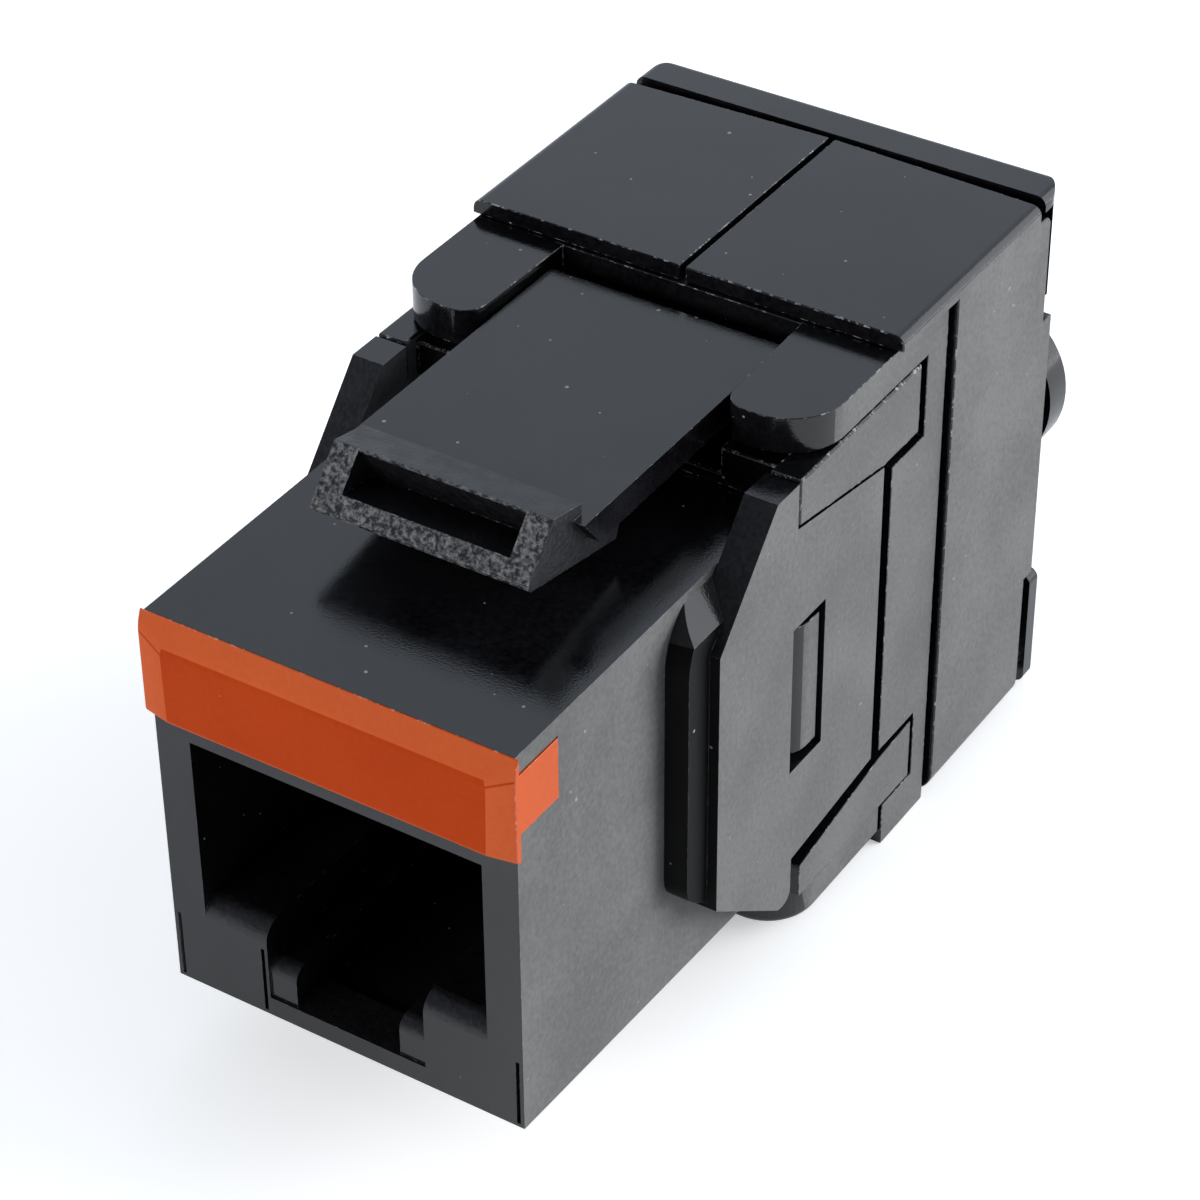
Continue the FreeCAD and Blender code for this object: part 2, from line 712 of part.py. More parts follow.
def cover(name, side):
    """Termination cover: a top plate and a side door in one, turning on a barrel below."""
    body = new_body(name)
    inner_edge = s.cover_gap / 2
    plate_under = s.cover_top - s.cover_plate
    ledge = plate_under - s.seat_clearance
    notch_front = s.door_back - s.door_notch
    past_back = s.door_back + s.cut_margin
    past_top = s.cover_top + s.cut_margin
    box(body, door_inner * side, half_cover * side, door_front, s.door_back, hinge_z, s.cover_top)
    box(body, inner_edge * side, half_cover * side, s.cover_front, s.cover_back,
        plate_under, s.cover_top)
    dress("Fillet", body, [(Y, half_cover * side, s.cover_top)], s.cover_edge)
    cuts = [(notch_front, brow_low - s.brow_notch_clearance, past_top),
            (notch_front, hinge_z - s.cut_margin, sill_top + s.sill_notch_clearance),
            (s.cover_back, ledge, past_top)]
    for front, low, high in cuts:
        pocket(body, rectangle(body, "side", 0, front, past_back, low, high), cover_width,
               both=True)
    dress("Fillet", body, [(X, notch_front, ledge)], s.door_round)
    skew = [(inner_edge * side, s.cover_back), (half_cover * side, s.cover_back - s.cover_skew),
            (half_cover * side, s.cover_back)]
    pocket(body, outline(body, "plan", ledge, skew), s.cover_top - ledge)
    barrel = disc(body, "front", door_front, hinge_x * side, hinge_z, s.barrel_radius)
    pad(body, barrel, notch_front - door_front)
    pusher = box(body, (door_inner - s.pusher_reach) * side, (door_inner + s.fit_clearance) * side,
                 s.block_front + s.pusher_inset, s.block_back - s.pusher_inset,
                 s.wire_level - s.pusher_thick / 2, s.wire_level + s.pusher_thick / 2)
    repeat(body, pusher, Z, s.wire_pitch * (WIRES_PER_SIDE - 1), WIRES_PER_SIDE)
    bore = disc(body, "front", door_front, hinge_x * side, hinge_z,
                s.pin_radius + s.pin_bore_clearance)
    pocket(body, bore, notch_front - door_front)
    return body


def hinge_pin(name, side):
    """Pin through a cover's barrel, seated in the rear housing and in the rear cap."""
    body = new_body(name)
    start = s.collar_back - s.pin_seat_depth + s.fit_clearance
    end = cap_back - s.seat_clearance * 2
    pad(body, disc(body, "front", start, hinge_x * side, hinge_z, s.pin_radius), end - start)
    return body


def rear_cap():
    """Cap behind the wires, with the brow above, the sill below and the cable's collar."""
    body = new_body("rear_cap")
    both_sides = (-1, 1)
    box(body, -half_brow, half_brow, s.cover_back + s.brow_gap, cap_back, brow_low, s.cover_top)
    dress("Fillet", body, [(Y, half_brow * side, brow_low) for side in both_sides], s.brow_round)
    dress("Fillet", body, [(Y, half_brow * side, s.cover_top) for side in both_sides], s.cap_edge)
    dress("Fillet", body, [(X, cap_back, s.cover_top)], s.cap_edge)
    for side in both_sides:
        round_off(body, brow_low, half_brow, cap_back, s.brow_corner, side, s.brow_height)
    box_cut(body, -half_cover, half_cover, s.cover_back, s.cap_front,
            brow_low, s.cover_top - s.cover_plate)
    box(body, -half_brow, half_brow, s.cap_front, cap_back, s.cap_low, sill_top)
    corners = [(Y, half_brow * side, level) for side in both_sides for level in (s.cap_low, sill_top)]
    dress("Fillet", body, corners, s.cap_edge)
    half = door_inner - s.cap_inset
    box(body, -half, half, s.cap_front, cap_back, s.cap_low, brow_low + s.brow_round)
    ring = s.collar_ring_height / 2
    box(body, -half_brow, half_brow, cap_back - s.fit_clearance, s.collar_ring_back,
        s.collar_ring_centre - ring, s.collar_ring_centre + ring)
    ends = [(Y, half_brow * side, s.collar_ring_centre + ring * up)
            for side in both_sides for up in (-1, 1)]
    dress("Fillet", body, ends, ring - s.fit_clearance)
    bore = disc(body, "front", s.cap_front, 0, s.collar_ring_centre, s.cable_bore / 2)
    pocket(body, bore, s.collar_ring_back - s.cap_front)
    for side in both_sides:
        seat = disc(body, "front", s.cap_front, hinge_x * side, hinge_z,
                    s.pin_radius + s.pin_seat_clearance)
        pocket(body, seat, s.cap_thick - s.seat_clearance)
    return body


def round_off(body, level, across, back, radius, side, height):
    """Rounds an upright rear corner by cutting away what lies outside the arc."""
    drawn = sketch(body, "plan", level)
    centre = ((across - radius) * side, back - radius)
    along, corner, down = (centre[0], back), (across * side, back), (across * side, centre[1])
    spots = [FreeCAD.Vector(a.value, b.value, 0) for a, b in (along, corner, down)]
    drawn.addGeometry(Part.LineSegment(spots[0], spots[1]), False)
    drawn.addGeometry(Part.LineSegment(spots[1], spots[2]), False)
    circle = Part.Circle(FreeCAD.Vector(centre[0].value, centre[1].value, 0),
                         FreeCAD.Vector(0, 0, 1), radius.value)
    quarter = math.pi / 2
    start = 0 if side > 0 else quarter
    drawn.addGeometry(Part.ArcOfCircle(circle, start, start + quarter), False)
    first, last = (2, 1) if side > 0 else (1, 2)
    drawn.addConstraint(Sketcher.Constraint("Coincident", 0, 2, 1, 1))
    drawn.addConstraint(Sketcher.Constraint("Coincident", 0, 1, 2, first))
    drawn.addConstraint(Sketcher.Constraint("Coincident", 1, 2, 2, last))
    place(drawn, 0, 1, *along)
    place(drawn, 1, 1, *corner)
    place(drawn, 1, 2, *down)
    number = drawn.addConstraint(Sketcher.Constraint("Radius", 2, radius.value))
    drawn.setExpression(f"Constraints[{number}]", radius.text)
    return pocket(body, drawn, height)


# ---------------------------------------------------------------- inside: contacts and board


def contact_place(number):
    return s.contact_pitch * (number - (CONTACTS - 1) / 2)


def contact_carrier():
    """Insulator behind and above the port, with a slot for each contact."""
    body = new_body("contact_carrier")
    half = s.carrier_width / 2
    top = s.board_low - s.seat_clearance
    behind_port = s.port_depth + s.fit_clearance
    box(body, -half, half, behind_port, s.carrier_back, s.carrier_low, top)
    box(body, -half, half, s.comb_front, behind_port, ledge_top + s.fit_clearance, top)
    box(body, -half, half, s.carrier_front, s.comb_front, port_top + s.fit_clearance, top)
    left = contact_place(0)
    groove = rectangle(body, "side", left, s.comb_slot_front, s.comb_slot_back,
                       s.comb_slot_low, top + s.cut_margin)
    slot = pocket(body, groove, s.comb_slot, both=True)
    repeat(body, slot, X, s.contact_pitch * (CONTACTS - 1), CONTACTS)
    return body


def contact(number):
    """Spring contact: a pin soldered in the board and an arm that slants down to the rear."""
    body = new_body(f"contact_{number + 1}")
    front = s.contact_pin - s.contact_thick / 2
    back = s.contact_pin + s.contact_thick / 2
    shape = [(front, board_top + s.tail_proud), (front, s.contact_bend - s.contact_thick),
             (s.contact_tip, s.contact_tip_height - s.contact_thick),
             (s.contact_tip + s.contact_hook, s.contact_tip_height),
             (s.contact_tip + s.contact_hook - s.contact_thick / 2, s.contact_tip_height + s.contact_thick),
             (s.contact_tip, s.contact_tip_height), (back, s.contact_bend),
             (back, board_top + s.tail_proud)]
    pad(body, outline(body, "side", contact_place(number), shape), s.contact_width, both=True)
    return body


def circuit_board():
    """Board over the contacts, with a tongue between the wire blocks."""
    body = new_body("circuit_board")
    half = s.carrier_width / 2 - s.seat_clearance
    tongue = s.board_tongue / 2
    front = s.carrier_front + s.seat_clearance
    plan = [(-half, front), (half, front), (half, s.board_shoulder), (tongue, s.board_shoulder),
            (tongue, s.board_back), (-tongue, s.board_back), (-tongue, s.board_shoulder),
            (-half, s.board_shoulder)]
    pad(body, outline(body, "plan", s.board_low, plan), s.board_thick)
    under = s.board_low - s.seat_clearance
    through = s.board_thick + s.seat_clearance * 2
    for side in (-1, 1):
        for level in range(WIRES_PER_SIDE):
            hole = disc(body, "plan", under, s.tail_centre * side, fork_y(level), s.tail_hole)
            pocket(body, hole, through)
    hole = disc(body, "plan", under, contact_place(0), s.contact_pin, s.board_hole)
    first = pocket(body, hole, through)
    repeat(body, first, X, s.contact_pitch * (CONTACTS - 1), CONTACTS)
    return body


# ---------------------------------------------------------------- inside: wire blocks


def fork_y(level):
    return s.fork_front + s.fork_step * level


def fork_z(level):
    return s.wire_level + s.wire_pitch * level


def wire_block(name, side):
    """Block at one side of the tongue, with four slots that take the wires."""
    body = new_body(name)
    low = s.floor_thick + s.seat_clearance
    high = shoulder_top - s.roof_thick - s.seat_clearance
    box(body, block_inner * side, block_outer * side, s.block_front, s.block_back, low, high)
    dress("Chamfer", body, [(Y, block_outer * side, low)], s.block_chamfer)
    slot_inner = block_outer - s.wire_slot_depth
    slot = box_cut(body, slot_inner * side, (block_outer + s.cut_margin) * side, s.block_front,
                   s.block_back, s.wire_level - s.wire_slot / 2, s.wire_level + s.wire_slot / 2)
    repeat(body, slot, Z, s.wire_pitch * (WIRES_PER_SIDE - 1), WIRES_PER_SIDE)
    half_thick = s.fork_thick / 2 + s.fit_clearance
    half_height = s.fork_height / 2 + s.fit_clearance
    for level in range(WIRES_PER_SIDE):
        box_cut(body, (block_inner - s.cut_margin) * side, (fork_tip + s.fit_clearance) * side,
                fork_y(level) - half_thick, fork_y(level) + half_thick,
                fork_z(level) - half_height, fork_z(level) + half_height)
    return body


def terminal(name, side, level):
    """Forked blade that grips one wire, with a tail to the board."""
    body = new_body(name)
    centre = fork_z(level)
    above = centre.value > board_top.value
    up = -1 if above else 1
    end = s.board_low - s.tail_proud if above else board_top + s.tail_proud
    tip = fork_tip
    fork_back = tip - s.fork_mouth_depth - s.fork_web
    mouth = s.fork_mouth / 2
    half = s.fork_height / 2
    neck = s.tail_height / 2
    tail_outer = s.tail_centre + s.tail_width / 2
    tail_inner = s.tail_centre - s.tail_width / 2
    shape = [(tip, centre + mouth * up), (tip, centre + half * up), (fork_back, centre + half * up),
             (fork_back, centre + neck * up), (tail_outer, centre + neck * up), (tail_outer, end),
             (tail_inner, end), (tail_inner, centre - neck * up), (fork_back, centre - neck * up),
             (fork_back, centre - half * up), (tip, centre - half * up), (tip, centre - mouth * up),
             (tip - s.fork_mouth_depth, centre - mouth * up), (tip - s.fork_mouth_depth, centre + mouth * up)]
    shape = [(across * side, height) for across, height in shape]
    front = fork_y(level) - s.fork_thick / 2
    pad(body, outline(body, "front", front, shape), s.fork_thick)
    return body


# ---------------------------------------------------------------- the whole jack

front_housing()
icon_strip()
keystone_frame()
latch_arm()
lower_clip()
rear_housing()
cover("cover_left", -1)
cover("cover_right", 1)
hinge_pin("hinge_pin_left", -1)
hinge_pin("hinge_pin_right", 1)
rear_cap()
contact_carrier()
circuit_board()
for number in range(CONTACTS):
    contact(number)
wire_block("wire_block_left", -1)
wire_block("wire_block_right", 1)
for level in range(WIRES_PER_SIDE):
    terminal(f"terminal_left_{level + 1}", -1, level)
    terminal(f"terminal_right_{level + 1}", 1, level)

doc.recompute()

# ---------------------------------------------------------------- checks and files

for item in doc.Objects:
    if "Invalid" in item.State or "Error" in item.State:
        raise RuntimeError(f"{item.Name} did not build: {item.State}")
for item in doc.Objects:
    if item.TypeId == "PartDesign::Pocket":
        before = item.BaseFeature.Shape.Volume
        if item.Shape.Volume >= before - TOUCH:
            raise RuntimeError(f"{item.Name} cut nothing")
for body in parts:
    if body.Shape.isNull() or not body.Shape.isValid():
        raise RuntimeError(f"{body.Label} has no valid shape")
    if len(body.Shape.Solids) != 1:
        raise RuntimeError(f"{body.Label} has {len(body.Shape.Solids)} solids")

os.makedirs("parts", exist_ok=True)
for body in parts:
    body.Shape.exportStep(f"parts/{body.Label}.step")
    room = body.Shape.BoundBox
    print(f"{body.Label}: {body.Shape.Volume:.1f} mm3, {room.XLength:.2f} x {room.YLength:.2f} x {room.ZLength:.2f}")
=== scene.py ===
import json
import math

import bmesh
import bpy
from mathutils import Matrix, Vector


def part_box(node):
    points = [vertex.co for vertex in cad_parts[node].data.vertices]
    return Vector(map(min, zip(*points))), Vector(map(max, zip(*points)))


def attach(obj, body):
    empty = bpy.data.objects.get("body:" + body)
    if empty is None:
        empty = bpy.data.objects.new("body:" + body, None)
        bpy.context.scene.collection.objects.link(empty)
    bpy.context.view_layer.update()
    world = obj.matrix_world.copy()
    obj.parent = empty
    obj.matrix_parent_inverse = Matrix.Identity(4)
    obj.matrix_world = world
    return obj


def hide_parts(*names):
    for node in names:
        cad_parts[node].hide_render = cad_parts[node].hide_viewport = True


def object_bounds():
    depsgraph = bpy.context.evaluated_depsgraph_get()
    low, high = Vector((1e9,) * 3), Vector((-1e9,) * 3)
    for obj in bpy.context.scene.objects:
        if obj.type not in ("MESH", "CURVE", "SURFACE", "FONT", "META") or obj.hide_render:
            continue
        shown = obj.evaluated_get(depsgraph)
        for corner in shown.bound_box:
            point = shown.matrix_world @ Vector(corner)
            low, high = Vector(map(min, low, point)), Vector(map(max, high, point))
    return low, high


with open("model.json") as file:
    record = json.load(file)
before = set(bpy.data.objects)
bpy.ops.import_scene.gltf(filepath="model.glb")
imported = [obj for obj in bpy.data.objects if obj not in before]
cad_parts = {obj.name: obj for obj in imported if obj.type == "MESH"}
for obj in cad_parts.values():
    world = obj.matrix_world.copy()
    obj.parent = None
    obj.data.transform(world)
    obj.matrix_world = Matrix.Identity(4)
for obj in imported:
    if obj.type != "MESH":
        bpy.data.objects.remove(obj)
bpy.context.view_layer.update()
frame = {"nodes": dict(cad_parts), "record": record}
nodes = frame["nodes"]
record = frame["record"]
MM = 0.001
WHITE = (1.0, 1.0, 1.0, 1.0)


def body_of(node):
    """The body that a CAD node belongs to."""
    for body, members in record["behaviour"]["bodies"].items():
        if node in members:
            return body
    raise KeyError(node)


# ------------------------------------------------------------------ materials

PLASTIC_IOR = 1.58
DUST_COLOR = (0.22, 0.22, 0.23)


class Graph:
    """A material's nodes, with short calls for the kinds that are used here."""

    def __init__(self, name):
        self.material = bpy.data.materials.new(name)
        self.material.use_nodes = True
        self.tree = self.material.node_tree
        self.tree.nodes.clear()
        out = self.add("ShaderNodeOutputMaterial")
        self.shader = self.add("ShaderNodeBsdfPrincipled")
        self.link(self.shader.outputs["BSDF"], out.inputs["Surface"])
        coordinates = self.add("ShaderNodeTexCoord")
        scale = self.add("ShaderNodeVectorMath", operation="SCALE")
        scale.inputs["Scale"].default_value = 1 / MM
        self.link(coordinates.outputs["Object"], scale.inputs[0])
        self.millimetres = scale.outputs["Vector"]

    def add(self, kind, **settings):
        node = self.tree.nodes.new(kind)
        for name, value in settings.items():
            setattr(node, name, value)
        return node

    def link(self, output, socket):
        self.tree.links.new(output, socket)

    def noise(self, per_mm, detail=2.0, roughness=0.5, stretch=None):
        """Noise with a scale in cells per millimetre."""
        node = self.add("ShaderNodeTexNoise")
        node.inputs["Scale"].default_value = per_mm
        node.inputs["Detail"].default_value = detail
        node.inputs["Roughness"].default_value = roughness
        source = self.millimetres
        if stretch:
            mapping = self.add("ShaderNodeMapping")
            mapping.inputs["Scale"].default_value = stretch
            self.link(source, mapping.inputs["Vector"])
            source = mapping.outputs["Vector"]
        self.link(source, node.inputs["Vector"])
        return node.outputs["Fac"]

    def spots(self, per_mm):
        """Distance from the nearest of a scatter of points."""
        node = self.add("ShaderNodeTexVoronoi", feature="F1")
        node.inputs["Scale"].default_value = per_mm
        self.link(self.millimetres, node.inputs["Vector"])
        return node.outputs["Distance"]

    def ramp(self, value, low, high, start=0.0, end=1.0):
        """Maps a value from low..high to start..end, and holds it outside."""
        node = self.add("ShaderNodeMapRange")
        node.clamp = True
        limits = {"From Min": low, "From Max": high, "To Min": start, "To Max": end}
        for name, number in limits.items():
            node.inputs[name].default_value = number
        self.link(value, node.inputs["Value"])
        return node.outputs["Result"]

    def math(self, operation, first, second):
        node = self.add("ShaderNodeMath", operation=operation)
        for socket, value in zip(node.inputs, (first, second)):
            if isinstance(value, (int, float)):
                socket.default_value = value
            else:
                self.link(value, socket)
        return node.outputs[0]

    def blend(self, first, share, second):
        """The first value in its share, and the second in what is left."""
        return self.math("ADD", self.math("MULTIPLY", first, share),
                         self.math("MULTIPLY", second, 1 - share))

    def mix(self, factor, first, second):
        """Colour between two colours or colour outputs."""
        node = self.add("ShaderNodeMix", data_type="RGBA")
        self.link(factor, node.inputs["Factor"])
        for socket, value in ((node.inputs[6], first), (node.inputs[7], second)):
            if isinstance(value, tuple):
                socket.default_value = (*value, 1.0)
            else:
                self.link(value, socket)
        return node.outputs[2]

    def bump(self, height, depth_mm, below=None):
        """A bump whose full height is depth_mm."""
        node = self.add("ShaderNodeBump")
        node.inputs["Strength"].default_value = 1.0
        node.inputs["Distance"].default_value = depth_mm * MM
        self.link(height, node.inputs["Height"])
        if below is not None:
            self.link(below, node.inputs["Normal"])
        return node.outputs["Normal"]

    def surface(self, color, roughness, normal=None, **fixed):
        inputs = self.shader.inputs
        self.link(color, inputs["Base Color"])
        if isinstance(roughness, float):
            inputs["Roughness"].default_value = roughness
        else:
            self.link(roughness, inputs["Roughness"])
        if normal is not None:
            self.link(normal, inputs["Normal"])
        for name, value in fixed.items():
            inputs[name.replace("_", " ")].default_value = value
        return self.material


def dust(graph, amount):
    """Mask of sparse light specks, as lie on a handled plastic part."""
    distance = graph.spots(1.2)
    size = graph.ramp(graph.noise(0.7, 1.0), 0.44, 0.70, 0.0, 0.095 * amount)
    return graph.math("LESS_THAN", distance, size)


def moulded_plastic(name, dark, light, smooth, rough, grain, waviness=0.004, specks=1.0, **fixed):
    """Injection-moulded plastic: fine grain, faint sinks, uneven gloss and a little dust."""
    g = Graph(name)
    broad = g.noise(0.22, 3.0, 0.55)
    fine = g.noise(5.0, 3.0, 0.6)
    color = g.mix(g.ramp(g.blend(broad, 0.5, fine), 0.38, 0.62), dark, light)
    color = g.mix(dust(g, specks), color, DUST_COLOR)
    gloss = g.ramp(g.blend(broad, 0.7, fine), 0.35, 0.65, smooth, rough)
    normal = g.bump(g.noise(11.0, 2.0, 0.5), grain, below=g.bump(broad, waviness))
    return g.surface(color, gloss, normal, IOR=PLASTIC_IOR, **fixed)


def sparked_plastic(name, dark, light, depth):
    """The same plastic where the mould was spark-eroded: a coarse matt grain."""
    g = Graph(name)
    coarse = g.noise(5.5, 4.0, 0.65)
    color = g.mix(g.ramp(coarse, 0.42, 0.66), dark, light)
    gloss = g.ramp(g.noise(1.2, 2.0), 0.3, 0.7, 0.32, 0.46)
    return g.surface(color, gloss, g.bump(coarse, depth), IOR=PLASTIC_IOR)


def worn_edge(name, base, bare):
    """A handled edge: the given base colour, broken by short pale scuffs."""
    g = Graph(name)
    scuffs = g.ramp(g.noise(3.2, 5.0, 0.7), 0.53, 0.62)
    gloss = g.ramp(scuffs, 0.0, 1.0, 0.22, 0.5)
    normal = g.bump(g.noise(7.0, 3.0, 0.6), 0.006)
    return g.surface(g.mix(scuffs, base, bare), gloss, normal, IOR=PLASTIC_IOR)


def plated_metal(name, base, tint, smooth, rough, brushed=(1.0, 1.0, 1.0)):
    """Plated or bright metal with faint drawing marks."""
    g = Graph(name)
    marks = g.noise(6.0, 3.0, 0.6, brushed)
    color = g.mix(g.ramp(marks, 0.3, 0.7), base, tint)
    gloss = g.ramp(marks, 0.3, 0.7, smooth, rough)
    return g.surface(color, gloss, g.bump(marks, 0.002), Metallic=1.0)


def solder_mask():
    """Green lacquer over copper, with the faint lie of the tracks beneath."""
    g = Graph("solder_mask")
    tracks = g.add("ShaderNodeTexWave", wave_type="BANDS", bands_direction="X")
    tracks.inputs["Scale"].default_value = 0.5
    tracks.inputs["Distortion"].default_value = 2.0
    g.link(g.millimetres, tracks.inputs["Vector"])
    raised = g.ramp(tracks.outputs["Fac"], 0.45, 0.55)
    color = g.mix(raised, (0.006, 0.075, 0.022), (0.012, 0.14, 0.045))
    gloss = g.ramp(g.noise(1.5), 0.3, 0.7, 0.22, 0.36)
    return g.surface(color, gloss, g.bump(raised, 0.02))


# The black plastic: bright on the flats; fine grain on the sides, in a lighter colour that is
# painted light; and a matt, low-gloss black at the flange and the wing fronts that is painted
# shade.
satin = moulded_plastic("black_satin", dark=(0.0016, 0.0016, 0.0022),
                        light=(0.0075, 0.0075, 0.0090), smooth=0.10, rough=0.20, grain=0.0045)
# Fine grain for the sides, with a lighter colour than the satin that is painted light.
side_grain_painted_light = moulded_plastic("black_fine_grain_painted_light", dark=(0.078, 0.078, 0.077),
                          light=(0.130, 0.130, 0.126), smooth=0.50, rough=0.62, grain=0.0060,
                          Specular_IOR_Level=0.28)
# Painted shade: a matt, low-gloss black for faces that lie in shade beside the nose.
painted_shade_black = moulded_plastic("black_matt_painted_shade", dark=(0.0020, 0.0020, 0.0024),
                         light=(0.0045, 0.0045, 0.0050), smooth=0.45, rough=0.55, grain=0.0020,
                         Specular_IOR_Level=0.10)
# The coarse grain of horns and port lips, and that of the latch head's front, which is painted
# much lighter as painted light.
spark = sparked_plastic("black_spark_grain", dark=(0.003, 0.003, 0.004),
                        light=(0.011, 0.011, 0.013), depth=0.03)
spark_painted_light = sparked_plastic("black_head_grain_painted_light", dark=(0.006, 0.006, 0.007),
                            light=(0.170, 0.170, 0.176), depth=0.06)
# The icon strip: its face, and the bevels and clips round it, painted paler as painted highlight.
orange = moulded_plastic("orange_satin", dark=(0.330, 0.032, 0.001),
                         light=(0.365, 0.038, 0.002), smooth=0.28, rough=0.38, grain=0.0008,
                         waviness=0.002, specks=0.5, Specular_IOR_Level=0.05)
orange_painted_highlight = moulded_plastic("orange_bevel_painted_highlight", dark=(0.440, 0.070, 0.014),
                              light=(0.475, 0.082, 0.018), smooth=0.30, rough=0.40, grain=0.0008,
                              waviness=0.002, specks=0.5, Specular_IOR_Level=0.10)
worn = worn_edge("black_worn_edge", base=(0.005, 0.005, 0.006), bare=(0.28, 0.28, 0.29))
# The strip's edges: a paler orange than its face, which is painted highlight, with pale scuffs of
# wear over it.
worn_orange_painted_highlight = worn_edge("orange_worn_edge_painted_highlight", base=(0.46, 0.065, 0.008), bare=(0.60, 0.20, 0.10))
# What is inside.
insulator = moulded_plastic("insulator_matt", dark=(0.006, 0.006, 0.007),
                            light=(0.011, 0.011, 0.012), smooth=0.38, rough=0.5, grain=0.0015)
gold = plated_metal("gold_plate", base=(0.86, 0.60, 0.20), tint=(0.92, 0.70, 0.30),
                    smooth=0.16, rough=0.28, brushed=(1.0, 0.15, 0.15))
tin = plated_metal("tin_plate", base=(0.56, 0.55, 0.52), tint=(0.66, 0.65, 0.62),
                   smooth=0.28, rough=0.42)
steel = plated_metal("pin_steel", base=(0.50, 0.50, 0.51), tint=(0.60, 0.60, 0.61),
                     smooth=0.2, rough=0.32, brushed=(1.0, 0.1, 1.0))
board = solder_mask()

# ------------------------------------------------------------------ bevelled copies

# Facets of one curve meet at up to 16 degrees, and real edges at 20 or more.
EDGE_ANGLE = math.radians(18)
FLAT_ANGLE = math.radians(0.6)
WELD = 0.002 * MM
ROUND_SEGMENTS = 5
EDGE_SEGMENTS = 2
RIM_SLOT = 1
FLAT_WEIGHT = 100


def clean_copy(node, soft=None):
    """A mesh with the node's shape, flat faces whole and no stored normals.

    soft(middle, along) gives the radius in millimetres to which an edge is rounded, or nothing.
    """
    work = bmesh.new()
    work.from_mesh(nodes[node].data)
    bmesh.ops.remove_doubles(work, verts=work.verts, dist=WELD)
    bmesh.ops.dissolve_limit(work, angle_limit=FLAT_ANGLE, verts=work.verts, edges=work.edges)
    rounds = {}
    for edge in work.edges:
        if soft and len(edge.link_faces) == 2 and edge.calc_face_angle() > EDGE_ANGLE:
            first, second = (vert.co for vert in edge.verts)
            radius = soft((first + second) / 2, (second - first).normalized())
            if radius:
                rounds.setdefault(radius, []).append(edge)
    for radius, edges in rounds.items():
        bmesh.ops.bevel(work, geom=[edge for edge in edges if edge.is_valid],
                        offset=radius * MM, offset_type="OFFSET", segments=ROUND_SEGMENTS,
                        profile=0.5, affect="EDGES", clamp_overlap=True)
    work.verts.ensure_lookup_table()
    corners = [vert.co.copy() for vert in work.verts]
    faces = [[vert.index for vert in face.verts] for face in work.faces]
    work.free()
    mesh = bpy.data.meshes.new(f"{node}_look")
    mesh.from_pydata(corners, [], faces)
    mesh.shade_smooth()
    mesh.set_sharp_from_angle(angle=EDGE_ANGLE)
    return mesh


def dressed(node, material, edge, rim, soft=None):
    """A copy of a CAD node with its sharp edges broken, which then stands for the node."""
    piece = bpy.data.objects.new(f"{node}_look", clean_copy(node, soft))
    bpy.context.scene.collection.objects.link(piece)
    bevel = piece.modifiers.new("edge", "BEVEL")
    bevel.width = edge * MM
    bevel.segments = EDGE_SEGMENTS
    bevel.limit_method = "ANGLE"
    bevel.angle_limit = EDGE_ANGLE
    bevel.use_clamp_overlap = True
    bevel.material = RIM_SLOT
    piece.data.materials.append(material)
    piece.data.materials.append(rim)
    weighted = piece.modifiers.new("flat", "WEIGHTED_NORMAL")
    weighted.mode = "FACE_AREA"
    weighted.weight = FLAT_WEIGHT
    weighted.keep_sharp = True
    bpy.context.view_layer.update()
    graph = bpy.context.evaluated_depsgraph_get()
    shaped = bpy.data.meshes.new_from_object(piece.evaluated_get(graph))
    piece.modifiers.clear()
    piece.data = shaped
    shaped.name = f"{node}_look"
    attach(piece, body_of(node))
    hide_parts(node)
    return piece


def regrain(piece, material, chosen):
    """Gives the faces for which chosen(centre, normal) is true another material.

    A face keeps the first such material that it is given, and a worn rim stays as it is.
    """
    piece.data.materials.append(material)
    index = len(piece.data.materials) - 1
    for face in piece.data.polygons:
        if face.material_index == 0 and chosen(face.center, face.normal):
            face.material_index = index


def finish_with(node, material):
    """Gives a CAD node that keeps its own shape a better material."""
    data = nodes[node].data
    data.materials.clear()
    data.materials.append(material)


# ------------------------------------------------------------------ faces and edges by place

head_low, head_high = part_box("latch_arm")
strip_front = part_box("icon_strip")[0].y
nose_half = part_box("icon_strip")[1].x
nose_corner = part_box("front_housing")[0]

# The latch head, back from its front and down from its top.
HEAD_LENGTH = 3.6 * MM
HEAD_FRONT_LENGTH = 2.5 * MM
HEAD_SLANT_START = 1.7 * MM
SLANT_DOWN, SLANT_BACK = 0.66, 0.75
HEAD_SLANT_BAND = 0.25 * MM
HEAD_TOP_BAND = 0.6 * MM
LIP_LENGTH = 0.6 * MM
LIP_DROP = 0.9 * MM
SILL_LENGTH = 1.0 * MM
SILL_DROP = 1.2 * MM
SILL_BAND = 0.2 * MM
BROW_LENGTH = 3.5 * MM
BROW_DROP = 0.5 * MM
LIP_ROUND, SILL_ROUND, BROW_ROUND = 0.42, 0.40, 0.30

# The icon strip's face and its soft border.
STRIP_FACE_BAND = 0.12 * MM
STRIP_ROUND = 0.28
STRIP_FACE_NORMAL = -0.985

# The front housing, out from the nose's side and back from its front.
SIDE_MARGIN = 0.3 * MM
FLANGE_OUT = 1.1 * MM
FLANGE_BACK = 14 * MM
WING_MARGIN = 0.1 * MM
PORT_LIP_LENGTH = 0.9 * MM
PORT_HALF = 5.9 * MM
PORT_LIP_HEIGHT = 7.5 * MM


